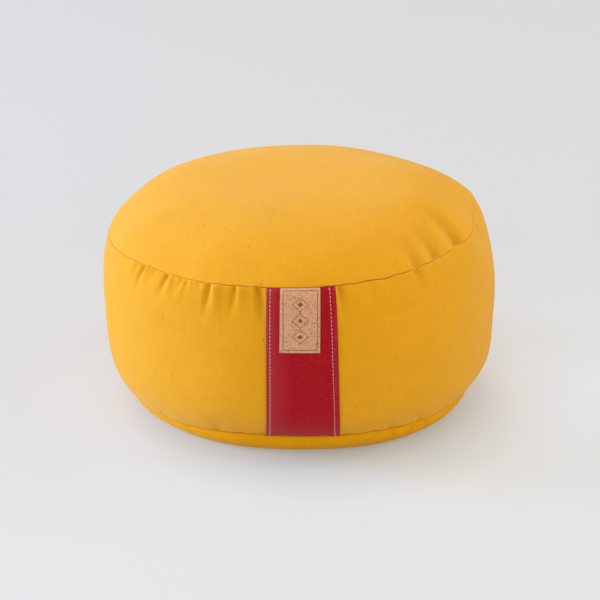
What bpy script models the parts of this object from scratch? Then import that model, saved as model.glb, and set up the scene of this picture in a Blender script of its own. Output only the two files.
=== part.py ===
"""Zafu meditation cushion: a stuffed round cotton case, with a flat carry strap and a small label on its front.

Metres, +Z up. The origin is on the floor, under the middle of the whole object, and the strap faces -Y.
An angle round the case is counted in degrees from straight in front, positive towards +X.
"""

import math
from collections import namedtuple

import bpy
from mathutils import Vector

# The levels at which the case changes direction, from the floor up. Each is a ring: its middle is moved
# right by shift_right, and it rises by rise_right on its right side and by rise_back at its back, and falls
# by as much on the other side, because the case has settled unevenly.
Level = namedtuple("Level", "height radius shift_right rise_right rise_back")
FLOOR_CONTACT = Level(0.0000, 0.1285, 0.0020, 0.0000, 0.0000)
BASE_SEAM = Level(0.0130, 0.1465, 0.0020, 0.0020, -0.0030)
WIDEST = Level(0.0820, 0.1645, 0.0000, -0.0020, 0.0040)
TOP_SEAM = Level(0.1525, 0.1540, -0.0035, 0.0046, 0.0055)
CASE_BACK_SHIFT = 0.0019  # the case sits this far back, so that the strap's front is as far out as its back

CROWN_RISE = 0.0325  # how far the crown stands above the top seam
CROWN_FLATNESS = 3.2  # power of the crown's curve: higher is flatter in the middle
UPPER_FULLNESS = 2.4  # powers of the band's curve, from its widest level to each seam
LOWER_FULLNESS = 3.6

# A seam draws the case in: how deep, how wide on each side, and how steeply the pull points down from the
# outside, in degrees, negative for up.
Seam = namedtuple("Seam", "level depth reach slope")
TOP_SEAM_PULL = Seam(TOP_SEAM, 0.0030, 0.0080, 38.0)
BASE_SEAM_PULL = Seam(BASE_SEAM, 0.0030, 0.0080, -22.0)

# The main puckers, each a soft trough from a seam, or a ridge where its depth is negative. It starts at an
# angle on the seam, runs for a length across the cloth, and drifts sideways by its lean on the way.
BELOW_TOP, ABOVE_TOP, ABOVE_BASE, BELOW_BASE = "below top", "above top", "above base", "below base"
Pucker = namedtuple("Pucker", "side angle length lean width depth")
PUCKERS = (
    Pucker(BELOW_TOP, -66.5, 0.018, -0.010, 0.005, 0.0014),
    Pucker(BELOW_TOP, -54.0, 0.017, -0.010, 0.005, -0.0010),
    Pucker(BELOW_TOP, -50.5, 0.027, -0.010, 0.005, 0.0032),
    Pucker(BELOW_TOP, -39.8, 0.027, -0.011, 0.005, 0.0028),
    Pucker(BELOW_TOP, -36.8, 0.022, -0.006, 0.005, -0.0010),
    Pucker(BELOW_TOP, -32.0, 0.014, -0.004, 0.005, 0.0016),
    Pucker(BELOW_TOP, -25.2, 0.032, -0.004, 0.005, 0.0024),
    Pucker(BELOW_TOP, -21.8, 0.034, -0.004, 0.005, -0.0012),
    Pucker(BELOW_TOP, -17.2, 0.020, -0.004, 0.005, 0.0020),
    Pucker(BELOW_TOP, -11.2, 0.038, 0.003, 0.005, 0.0016),
    Pucker(BELOW_TOP, 14.0, 0.044, -0.003, 0.006, 0.0020),
    Pucker(BELOW_TOP, 35.6, 0.022, 0.006, 0.006, 0.0020),
    Pucker(BELOW_TOP, 74.0, 0.026, 0.005, 0.008, 0.0018),
    Pucker(BELOW_TOP, 103.0, 0.034, -0.006, 0.008, 0.0024),
    Pucker(BELOW_TOP, 131.0, 0.024, 0.008, 0.008, 0.0018),
    Pucker(BELOW_TOP, 158.0, 0.030, 0.004, 0.009, 0.0026),
    Pucker(BELOW_TOP, -172.0, 0.026, -0.007, 0.008, 0.0020),
    Pucker(BELOW_TOP, -145.0, 0.034, 0.006, 0.009, 0.0026),
    Pucker(BELOW_TOP, -117.0, 0.024, -0.008, 0.008, 0.0018),
    Pucker(BELOW_TOP, -92.0, 0.028, -0.006, 0.008, 0.0020),
    Pucker(ABOVE_TOP, 57.8, 0.040, 0.006, 0.007, 0.0032),
    Pucker(ABOVE_TOP, 47.8, 0.024, 0.001, 0.005, 0.0022),
    Pucker(ABOVE_TOP, 44.4, 0.022, -0.002, 0.005, -0.0008),
    Pucker(ABOVE_TOP, 39.8, 0.020, 0.000, 0.005, 0.0010),
    Pucker(ABOVE_TOP, -45.8, 0.026, -0.011, 0.006, -0.0008),
    Pucker(ABOVE_TOP, -78.2, 0.040, 0.024, 0.007, 0.0012),
    Pucker(ABOVE_TOP, 118.0, 0.032, 0.006, 0.009, 0.0020),
    Pucker(ABOVE_TOP, 171.0, 0.028, -0.006, 0.009, 0.0018),
    Pucker(ABOVE_TOP, -130.0, 0.034, 0.005, 0.009, 0.0022),
    Pucker(ABOVE_BASE, 28.2, 0.018, -0.004, 0.005, 0.0016),
    Pucker(ABOVE_BASE, 39.0, 0.022, -0.010, 0.006, 0.0020),
    Pucker(ABOVE_BASE, -11.6, 0.016, 0.002, 0.005, 0.0020),
    Pucker(ABOVE_BASE, -26.6, 0.018, 0.006, 0.005, 0.0014),
    Pucker(ABOVE_BASE, 86.0, 0.026, 0.006, 0.008, 0.0018),
    Pucker(ABOVE_BASE, 139.0, 0.024, -0.005, 0.008, 0.0020),
    Pucker(ABOVE_BASE, -159.0, 0.028, 0.005, 0.008, 0.0020),
    Pucker(ABOVE_BASE, -101.0, 0.022, -0.006, 0.008, 0.0018),
)

PUCKER_START = 0.004  # how far from the seam's line a pucker reaches its full depth

FRONT_STEPS = 80  # points round the front half of each ring, where the puckers lie closest
BACK_STEPS = 40
RIM_STEPS = 4
LOWER_BAND_STEPS = 8
UPPER_BAND_STEPS = 8
CROWN_STEPS = 9
SEAM_CROWDING = 1.8  # power that crowds the rings towards a seam

STRAP_WIDTH = 0.0555
STRAP_GATHER = 0.0030  # how much narrower the top seam draws the strap in
STRAP_SHIFT_TOP = 0.0016  # how far right the strap's middle line is, at each end
STRAP_SHIFT_BASE = 0.0046
STRAP_THICKNESS = 0.0020
STRAP_GAP = 0.0004  # between the band and the strap
STRAP_STEPS_ACROSS = 6

LABEL_WIDTH = 0.0300
LABEL_LENGTH = 0.0500
LABEL_SHIFT = 0.0010  # how far right the label's middle line is
LABEL_THICKNESS = 0.0010
LABEL_GAP = 0.0004  # between the strap and the label
LABEL_STEPS_ACROSS = 4


def ring_point(level, angle, radius=None):
    """The point of a level at this angle, or at another radius in the level's own sloping plane."""
    turn = math.radians(angle)
    radius = level.radius if radius is None else radius
    right, back = math.sin(turn), -math.cos(turn)
    share = radius / level.radius
    return Vector((
        level.shift_right + radius * right,
        CASE_BACK_SHIFT + radius * back,
        level.height + share * (level.rise_right * right + level.rise_back * back),
    ))


def between_levels(start, end, share, fullness, angle):
    """A point of the band on its way from the widest level to a seam: it narrows late and rises evenly."""
    a, b = ring_point(start, angle), ring_point(end, angle)
    point = a.lerp(b, share**fullness)
    point.z = a.z + (b.z - a.z) * share
    return point


def smooth_case_point(angle, place):
    """The case without seams and puckers. place runs from 0 at the middle of the base to 5 at the top:
    1 is the edge of the floor contact, 2 the base seam, 3 the widest level and 4 the top seam."""
    if place <= 1.0:
        return ring_point(FLOOR_CONTACT, angle, FLOOR_CONTACT.radius * place)
    if place <= 2.0:
        turn = (place - 1.0) * math.pi / 2
        inner, outer = ring_point(FLOOR_CONTACT, angle), ring_point(BASE_SEAM, angle)
        point = inner.lerp(outer, math.sin(turn))
        point.z = outer.z * (1.0 - math.cos(turn))
        return point
    if place <= 3.0:
        return between_levels(WIDEST, BASE_SEAM, 3.0 - place, LOWER_FULLNESS, angle)
    if place <= 4.0:
        return between_levels(WIDEST, TOP_SEAM, place - 3.0, UPPER_FULLNESS, angle)
    share = 5.0 - place
    point = ring_point(TOP_SEAM, angle, TOP_SEAM.radius * share)
    point.z += CROWN_RISE * (1.0 - share**CROWN_FLATNESS)
    return point


def outward(angle, place, step=1e-3):
    """The unit normal of the smooth case. At a seam it is taken on the side that the place lies on."""
    low, high = (place - step, place) if place % 1.0 == 0.0 else (place - step / 2, place + step / 2)
    up = smooth_case_point(angle, high) - smooth_case_point(angle, low)
    across = smooth_case_point(angle + 0.1, place) - smooth_case_point(angle - 0.1, place)
    return across.cross(up).normalized()


def seam_pull(angle, point):
    """How far the two seams draw this point in, as a vector."""
    turn = math.radians(angle)
    pull = Vector((0.0, 0.0, 0.0))
    for seam in (TOP_SEAM_PULL, BASE_SEAM_PULL):
        near = 1.0 - (point - ring_point(seam.level, angle)).length / seam.reach
        if near > 0.0:
            slope = math.radians(seam.slope)
            inward = Vector((-math.sin(turn) * math.cos(slope), math.cos(turn) * math.cos(slope), -math.sin(slope)))
            pull += inward * seam.depth * near**1.5
    return pull


def pucker_side(place):
    """Which seam's puckers reach this place, and that seam's level."""
    if place < 2.0:
        return BELOW_BASE, BASE_SEAM
    if place < 3.0:
        return ABOVE_BASE, BASE_SEAM
    if place < 4.0:
        return BELOW_TOP, TOP_SEAM
    return ABOVE_TOP, TOP_SEAM


def pucker_depth(angle, place, point):
    """How far the puckers sink this point, by its distance along and across each one."""
    side, level = pucker_side(place)
    total = 0.0
    for pucker in PUCKERS:
        if pucker.side != side:
            continue
        distance = (point - ring_point(level, angle)).length
        away = distance / pucker.length
        if away >= 1.0:
            continue
        depth = pucker.depth * min(1.0, distance / PUCKER_START) * math.cos(away * math.pi / 2) ** 1.5
        around = (angle - pucker.angle + 180.0) % 360.0 - 180.0
        across = math.radians(around) * level.radius - pucker.lean * away
        total += depth * math.exp(-((across / pucker.width) ** 2))
    return total


def case_point(angle, place):
    """A point of the finished case, with its seams drawn in and its puckers."""
    point = smooth_case_point(angle, place)
    if place <= 1.0:
        return point
    sunk = pucker_depth(angle, place, point)
    return point + seam_pull(angle, point) - outward(angle, place) * sunk


def crowded(count):
    """Shares from 0 to 1, crowded towards 0."""
    return [(i / count) ** SEAM_CROWDING for i in range(1, count + 1)]


def ring_angles():
    """The angles of the points of each ring, closer together in front."""
    front = [-90.0 + 180.0 * i / FRONT_STEPS for i in range(FRONT_STEPS)]
    return front + [90.0 + 180.0 * i / BACK_STEPS for i in range(BACK_STEPS)]


def case_places():
    """The places of the rings, from the edge of the floor contact to the last ring below the top."""
    places = [1.0 + i / RIM_STEPS for i in range(RIM_STEPS + 1)]
    places += [2.0 + share for share in crowded(LOWER_BAND_STEPS)]
    places += [4.0 - share for share in reversed(crowded(UPPER_BAND_STEPS)[:-1])]
    places += [4.0] + [4.0 + share for share in crowded(CROWN_STEPS)[:-1]]
    return places


def make_material(name, colour, roughness):
    """A cloth finish in one colour."""
    material = bpy.data.materials.new(name)
    material.use_nodes = True
    shader = material.node_tree.nodes["Principled BSDF"]
    shader.inputs["Base Color"].default_value = (*colour, 1.0)
    shader.inputs["Roughness"].default_value = roughness
    shader.inputs["Metallic"].default_value = 0.0
    return material


def make_object(name, points, faces, material):
    mesh = bpy.data.meshes.new(name)
    mesh.from_pydata([tuple(p) for p in points], [], faces)
    mesh.materials.append(material)
    mesh.shade_smooth()
    obj = bpy.data.objects.new(name, mesh)
    bpy.context.scene.collection.objects.link(obj)
    return obj


def make_cushion():
    """The filled case: rings of points up its side, closed by a flat base and the top of the crown."""
    places, angles = case_places(), ring_angles()
    count = len(angles)
    points = [case_point(angle, place) for place in places for angle in angles]
    base_middle, top_middle = len(points), len(points) + 1
    points += [smooth_case_point(0.0, 0.0), smooth_case_point(0.0, 5.0)]
    faces = []
    last_ring = (len(places) - 1) * count
    for i in range(count):
        j = (i + 1) % count
        faces.append((base_middle, j, i))
        faces.append((top_middle, last_ring + i, last_ring + j))
        for ring in range(0, last_ring, count):
            faces.append((ring + i, ring + j, ring + count + j, ring + count + i))
    return make_object("cushion", points, faces, make_material("cotton canvas", (0.83, 0.42, 0.05), 0.85))


def front_point(right, place, lift):
    """A point in front of the band, this far right of the object's middle and lifted off the band, which the
    seams draw in but no pucker sinks."""
    middle = smooth_case_point(0.0, place)
    angle = math.degrees(math.asin((right - middle.x) / (CASE_BACK_SHIFT - middle.y)))
    point = smooth_case_point(angle, place)
    return point + seam_pull(angle, point) + outward(angle, place) * lift


def make_sheet(name, line, places, steps_across, thickness, material):
    """A flat piece that follows the band: line gives a point from a share of its width, a place and a lift."""
    points = []
    for lift in (0.0, thickness):
        for place in places:
            for i in range(steps_across + 1):
                points.append(line(i / steps_across - 0.5, place, lift))
    columns, rows = steps_across + 1, len(places)
    outer = columns * rows
    faces = []
    for row in range(rows - 1):
        for i in range(steps_across):
            a = row * columns + i
            quad = (a, a + columns, a + columns + 1, a + 1)
            faces.append(quad)
            faces.append(tuple(outer + corner for corner in reversed(quad)))
        left, right = row * columns, row * columns + steps_across
        faces.append((left, outer + left, outer + left + columns, left + columns))
        faces.append((right, right + columns, outer + right + columns, outer + right))
    for i in range(steps_across):
        low, high = i, (rows - 1) * columns + i
        faces.append((low, low + 1, outer + low + 1, outer + low))
        faces.append((high, outer + high, outer + high + 1, high + 1))
    return make_object(name, points, faces, material)


def strap_point(share, place, lift):
    """share runs from -0.5 at the strap's left edge to 0.5 at its right edge."""
    up = (place - 2.0) / 2.0
    width = STRAP_WIDTH - STRAP_GATHER * up**4
    middle = STRAP_SHIFT_BASE + (STRAP_SHIFT_TOP - STRAP_SHIFT_BASE) * up
    return front_point(middle + share * width, place, STRAP_GAP + lift)


def make_strap():
    """The carry strap: a strip with folded edges, whose ends lie in the draw of the two seams that hold it. It
    bends where the band's rings do, so that its flats lie on the band's flats."""
    places = [place for place in case_places() if 2.0 < place < 4.0]
    return make_sheet("strap", strap_point, places, STRAP_STEPS_ACROSS, STRAP_THICKNESS,
                      make_material("wine red cotton", (0.30, 0.008, 0.02), 0.8))


def label_point(share, place, lift):
    """share runs from -0.5 at the label's left edge to 0.5 at its right edge."""
    clear = STRAP_GAP + STRAP_THICKNESS + LABEL_GAP
    return front_point(LABEL_SHIFT + share * LABEL_WIDTH, place, clear + lift)


def make_label():
    """The label: a small cut piece, held by its upper edge in the top seam."""
    lower_end = 4.0 - LABEL_LENGTH / (TOP_SEAM.height - WIDEST.height)
    places = [lower_end] + [place for place in case_places() if lower_end < place < 4.0]
    return make_sheet("label", label_point, places, LABEL_STEPS_ACROSS, LABEL_THICKNESS,
                      make_material("pale cork cloth", (0.50, 0.28, 0.16), 0.9))


def main():
    for obj in list(bpy.data.objects):
        bpy.data.objects.remove(obj, do_unlink=True)
    make_cushion()
    make_strap()
    make_label()


if __name__ == "__main__":
    main()
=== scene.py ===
import math
import time

import bpy
import numpy as np
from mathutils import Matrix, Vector


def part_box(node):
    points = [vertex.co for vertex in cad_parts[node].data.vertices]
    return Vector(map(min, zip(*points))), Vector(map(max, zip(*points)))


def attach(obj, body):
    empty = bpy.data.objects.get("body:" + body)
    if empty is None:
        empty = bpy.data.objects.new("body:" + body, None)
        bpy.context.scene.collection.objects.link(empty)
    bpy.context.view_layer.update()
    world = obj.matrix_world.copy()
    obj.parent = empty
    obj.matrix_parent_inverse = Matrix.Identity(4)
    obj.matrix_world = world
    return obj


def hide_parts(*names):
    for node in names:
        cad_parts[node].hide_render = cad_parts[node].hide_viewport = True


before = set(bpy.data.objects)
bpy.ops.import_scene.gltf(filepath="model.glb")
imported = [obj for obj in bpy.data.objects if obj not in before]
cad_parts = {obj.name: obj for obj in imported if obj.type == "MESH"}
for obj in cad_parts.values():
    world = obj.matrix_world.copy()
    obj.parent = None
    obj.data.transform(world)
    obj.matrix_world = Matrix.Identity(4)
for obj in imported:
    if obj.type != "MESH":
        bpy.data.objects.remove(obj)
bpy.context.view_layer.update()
scene = bpy.context.scene
scene.view_settings.view_transform = "Standard"
started = time.time()

caseLow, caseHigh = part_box("cushion")
caseMiddle = (caseLow + caseHigh) / 2
widestRadius = (caseHigh.x - caseLow.x) / 2


def report(stage):
    print(f"{stage}: {time.time() - started:.1f} s")


class Value:  # a node's output that takes part in plain Python sums
    def __init__(self, finish, socket):
        self.finish, self.socket = finish, socket

    def __add__(self, other):
        return self.finish.op("ADD", self, other)

    __radd__ = __add__

    def __sub__(self, other):
        return self.finish.op("SUBTRACT", self, other)

    def __rsub__(self, other):
        return self.finish.op("SUBTRACT", other, self)

    def __mul__(self, other):
        return self.finish.op("MULTIPLY", self, other)

    __rmul__ = __mul__

    def __truediv__(self, other):
        return self.finish.op("DIVIDE", self, other)

    def __rtruediv__(self, other):
        return self.finish.op("DIVIDE", other, self)

    def __pow__(self, other):
        return self.finish.op("POWER", self, other)

    def __gt__(self, other):
        return self.finish.op("GREATER_THAN", self, other)

    def __lt__(self, other):
        return self.finish.op("LESS_THAN", self, other)


class Finish:  # one material, and the only way its nodes are made
    def __init__(self, name):
        self.material = bpy.data.materials.new(name)
        self.material.use_nodes = True
        self.tree = self.material.node_tree
        self.tree.nodes.clear()

    def node(self, kind, settings=None, values=None, output=0):
        made = self.tree.nodes.new(kind)
        for name, value in (settings or {}).items():
            if name == "stops":
                self.setStops(made.color_ramp, value)
            else:
                setattr(made, name, value)
        for name, value in (values or {}).items():
            if isinstance(value, Value):
                self.tree.links.new(value.socket, made.inputs[name])
            else:
                made.inputs[name].default_value = value
        if output is None:
            return [Value(self, socket) for socket in made.outputs]
        return Value(self, made.outputs[output]) if made.outputs else made

    def setStops(self, ramp, stops):  # (place, colour) pairs, first to last
        while len(ramp.elements) < len(stops):
            ramp.elements.new(0.5)
        for element, (place, colour) in zip(ramp.elements, stops):
            element.position, element.color = place, colour

    def op(self, operation, *values):
        return self.node("ShaderNodeMath", {"operation": operation}, dict(enumerate(values)))

    def within(self, value, low, high, first=0.0, last=1.0):  # brings low to high onto first to last
        return self.node("ShaderNodeMapRange", {"clamp": True}, {
            "Value": value, "From Min": low, "From Max": high, "To Min": first, "To Max": last})

    def blend(self, share, first, second, how="MIX"):  # of two colours
        return self.node("ShaderNodeMix", {"data_type": "RGBA", "blend_type": how},
                         {"Factor": share, 6: first, 7: second}, 2)

    def parts(self, vector):  # its three numbers
        return self.node("ShaderNodeSeparateXYZ", None, {0: vector}, None)

    def clothPlace(self):  # where a point lies on its flat cloth in metres, whole and as two numbers
        where = self.node("ShaderNodeUVMap", {"uv_map": "cloth"})
        return where, *self.parts(where)[:2]

    def stretched(self, where, along, across):  # a place with its two directions scaled apart
        return self.node("ShaderNodeVectorMath", {"operation": "MULTIPLY"},
                         {0: where, 1: (along, across, 1.0)})

    def noise(self, where, scale, detail=2.0, roughness=0.5):
        return self.node("ShaderNodeTexNoise", None,
                         {"Vector": where, "Scale": scale, "Detail": detail, "Roughness": roughness})

    def slubs(self, where, fine, coarse):  # thicker and thinner threads in both directions, about 0
        lengthwise = self.noise(self.stretched(where, fine, coarse), 1.0)
        crosswise = self.noise(self.stretched(where, coarse, fine), 1.0)
        return lengthwise + crosswise - 1.0

    def bump(self, height, distance, strength=0.6):
        return self.node("ShaderNodeBump", None,
                         {"Height": height, "Distance": distance, "Strength": strength})

    def surface(self, values):  # the shader and the output
        shader = self.node("ShaderNodeBsdfPrincipled", None, values)
        self.node("ShaderNodeOutputMaterial", None, {"Surface": shader})


def makeMesh(name, points, faces, uvs, finish, hollows=None):  # uvs is one pair for each corner, in order
    mesh = bpy.data.meshes.new(name)
    mesh.from_pydata(np.asarray(points, float).tolist(), [], faces)
    layer = mesh.uv_layers.new(name="cloth")
    layer.data.foreach_set("uv", np.asarray(uvs, np.float32).ravel())
    if hollows is not None:
        shade = mesh.attributes.new("hollow", "FLOAT", "POINT")
        shade.data.foreach_set("value", np.asarray(hollows, np.float32).ravel())
    mesh.materials.append(finish.material)
    mesh.polygons.foreach_set("use_smooth", [True] * len(mesh.polygons))
    mesh.update()
    piece = bpy.data.objects.new(name, mesh)
    scene.collection.objects.link(piece)
    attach(piece, "root")
    return piece


def unit(vectors):
    return vectors / np.maximum(np.linalg.norm(vectors, axis=-1, keepdims=True), 1e-12)


def soften(share):  # an even start and stop between 0 and 1
    share = np.clip(share, 0.0, 1.0)
    return share * share * (3.0 - 2.0 * share)


def wander(angles, slowest, fastest, seed):  # smooth chance round the case, mostly between -1 and 1
    chance = np.random.default_rng(seed)
    waves = np.arange(slowest, fastest + 1)
    sizes, turns = chance.uniform(0.3, 1.0, len(waves)), chance.uniform(0, 2 * math.pi, len(waves))
    total = (np.sin(np.radians(angles)[..., None] * waves + turns) * sizes).sum(axis=-1)
    return total / math.sqrt((sizes ** 2).sum())


def between(values, positions, closed=False):  # a smooth curve through rows of values, read at positions
    base = np.floor(positions).astype(int)
    share = (positions - base).reshape(-1, *[1] * (values.ndim - 1))
    weights = (((2 - share) * share - 1) * share / 2, ((3 * share - 5) * share ** 2 + 2) / 2,
               ((4 - 3 * share) * share + 1) * share / 2, (share - 1) * share ** 2 / 2)
    total = 0.0
    for step, weight in zip((-1, 0, 1, 2), weights):
        place = (base + step) % len(values) if closed else np.clip(base + step, 0, len(values) - 1)
        total = total + values[place] * weight
    return total


# Each level is a ring round the case: its height and radius, how far it is moved to the right, and how much
# higher its right and its back are, in metres.
caseShape = {
    "floorContact": (0.0, 0.1285, 0.0020, 0.0, 0.0),
    "baseSeam": (0.0130, 0.1465, 0.0020, 0.0020, -0.0030),
    "widest": (0.0820, widestRadius, 0.0, -0.0020, 0.0040),
    "topSeam": (0.1525, 0.1540, -0.0035, 0.0046, 0.0055),
    "crownRise": 0.0336,
    "crownFlatness": 4.5,  # higher is flatter in the middle
    "upperFullness": 2.4,  # higher keeps the band full for longer on its way to the seam
    "lowerFullness": 3.6,
    "shoulder": 9.48,  # makes the crown's swellings full size three quarters of the way out
}
seamRadius = {seam: caseShape[seam][1] for seam in ("topSeam", "baseSeam")}

# Where the filling swells or settles: the angle from the strap to the right and the spread, in degrees, and
# how far it goes out and up, in metres. The crown's go only up, and the fullness has plain numbers.
swellings = {
    "floorContact": ((-20, 26, 0.0014, 0), (4, 24, -0.0060, 0), (20, 26, 0.0056, 0), (60, 26, 0.0020, 0)),
    "baseSeam": ((-70, 24, -0.0007, -0.0029), (-40, 22, 0.0012, -0.0006), (-12, 20, -0.0010, 0.0026),
                 (15, 20, 0.0014, 0.0017), (42, 22, 0.0045, 0.0011), (70, 24, -0.0021, 0.0011),
                 (140, 35, 0.0015, 0.0010), (-150, 30, -0.0010, -0.0010)),
    "widest": ((-90, 40, -0.0009, 0.0007), (88, 34, 0.0004, -0.0046), (150, 40, 0.0010, 0.0010)),
    "topSeam": ((-88, 26, 0.0011, -0.0063), (-66, 9, 0.0012, 0.0009), (-45, 24, 0.0003, 0.0011),
                (-38, 8, -0.0008, -0.0009), (-26, 8, 0.0014, -0.0004), (-15, 22, 0.0, 0.0011),
                (32, 10, 0.0, -0.0010), (50, 24, -0.0003, 0.0012), (66, 9, 0.0022, 0.0),
                (80, 9, -0.0032, -0.0017), (88, 26, -0.0016, 0.0046), (94, 10, -0.0020, 0.0026),
                (108, 12, -0.0023, 0.0019), (-140, 30, 0.0010, -0.0012), (150, 30, -0.0012, 0.0015)),
    "crown": ((150, 70, 0, -0.0034), (134, 18, 0, -0.0018), (-110, 50, 0, 0.0014), (90, 40, 0, 0.0026)),
    "upperFullness": ((-90, 45, 1.36, 0), (90, 45, 0.38, 0), (92, 18, -0.9, 0), (114, 18, 3.6, 0)),
    "lowerFullness": ((90, 45, 0.58, 0.0),),
}


def swell(kind, angles):  # out and up at each angle
    out, up = np.zeros(angles.shape), np.zeros(angles.shape)
    for middle, spread, pushOut, pushUp in swellings[kind]:
        share = np.exp(-(((angles - middle + 180.0) % 360.0 - 180.0) / spread) ** 2)
        out += pushOut * share
        up += pushUp * share
    return out, up


def outwards(angles):  # the way out from the middle, to the right and to the back
    return np.sin(np.radians(angles)), -np.cos(np.radians(angles))


def ringAt(level, angles, share=1.0):  # angles are in degrees from the strap, positive to the right
    height, radius, shiftRight, riseRight, riseBack = caseShape[level]
    out, up = swell(level, angles)
    right, back = outwards(angles)
    radius = (radius + out) * share
    rise = up * share ** 3 + (riseRight * right + riseBack * back) * share
    return np.stack([shiftRight + radius * right, caseMiddle.y + radius * back, height + rise], axis=-1)


def bandAt(seam, share, fullness, angles):  # share runs from 0 at the widest ring to 1 at the seam
    widest, end = ringAt("widest", angles), ringAt(seam, angles)
    bend = share ** (caseShape[fullness] + swell(fullness, angles)[0])
    points = widest + (end - widest) * bend[..., None]
    points[..., 2] = widest[..., 2] + (end[..., 2] - widest[..., 2]) * share
    return points


# The ring at a place on the case: 1 is the floor contact, 2 the base seam, 3 the widest level,
# 4 the top seam and 5 the top of the crown.
def smoothRing(place, angles):
    if place <= 1.0:
        return ringAt("floorContact", angles, place)
    if place <= 2.0:
        turn = (place - 1.0) * math.pi / 2
        inner, outer = ringAt("floorContact", angles), ringAt("baseSeam", angles)
        points = inner + (outer - inner) * math.sin(turn)
        points[..., 2] = outer[..., 2] * (1.0 - math.cos(turn))
        return points
    if place <= 3.0:
        return bandAt("baseSeam", 3.0 - place, "lowerFullness", angles)
    if place <= 4.0:
        return bandAt("topSeam", place - 3.0, "upperFullness", angles)
    share = 5.0 - place
    points = ringAt("topSeam", angles, share)
    shoulder = caseShape["shoulder"] * share ** 3 * (1.0 - share)
    points[..., 2] += caseShape["crownRise"] * (1.0 - share ** caseShape["crownFlatness"])
    points[..., 2] += swell("crown", angles)[1] * shoulder
    return points


# Lengths along the cloth from the middle of the base up the side to the top, on the case's left front.
stepPlaces = np.linspace(0.0, 5.0, 2001)
stepPoints = np.concatenate([smoothRing(place, np.array([-45.0])) for place in stepPlaces])
stepLengths = np.concatenate([[0.0], np.cumsum(np.linalg.norm(np.diff(stepPoints, axis=0), axis=1))])
floorEdgeAt, baseSeamAt, widestAt, topSeamAt, topAt = (
    float(np.interp(place, stepPlaces, stepLengths)) for place in (1.0, 2.0, 3.0, 4.0, 5.0))
seamAt = {"topSeam": topSeamAt, "baseSeam": baseSeamAt}


def smoothGrid(lengths, angles):  # a row of points for each length along the cloth
    places = np.interp(lengths, stepLengths, stepPlaces)
    return np.stack([smoothRing(place, angles) for place in places])


def outwardOf(lengths, angles):  # unit normals of the smooth case
    step, turn = 0.0008, 0.3
    higher, lower = np.minimum(lengths + step, topAt), np.maximum(lengths - step, 0)
    up = smoothGrid(higher, angles) - smoothGrid(lower, angles)
    across = smoothGrid(lengths, angles + turn) - smoothGrid(lengths, angles - turn)
    return unit(np.cross(across, up))


lumps = {  # the hulls inside
    "size": 0.00045,
    "count": 9,
    "shortest": 0.055,
    "longest": 0.15,
    "fromSeam": 0.012,  # they don't show close to a seam or to the floor
    "fromFloor": 0.010,
    "seed": 12,
}


def lumpHeights(points):
    chance = np.random.default_rng(lumps["seed"])
    total = np.zeros(points.shape[:-1])
    for _ in range(lumps["count"]):
        way = unit(chance.standard_normal(3))
        wave = chance.uniform(lumps["shortest"], lumps["longest"])
        total += np.sin(points @ way * 2 * math.pi / wave + chance.uniform(0, 2 * math.pi))
    return total * lumps["size"] / math.sqrt(lumps["count"] / 2)


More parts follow.
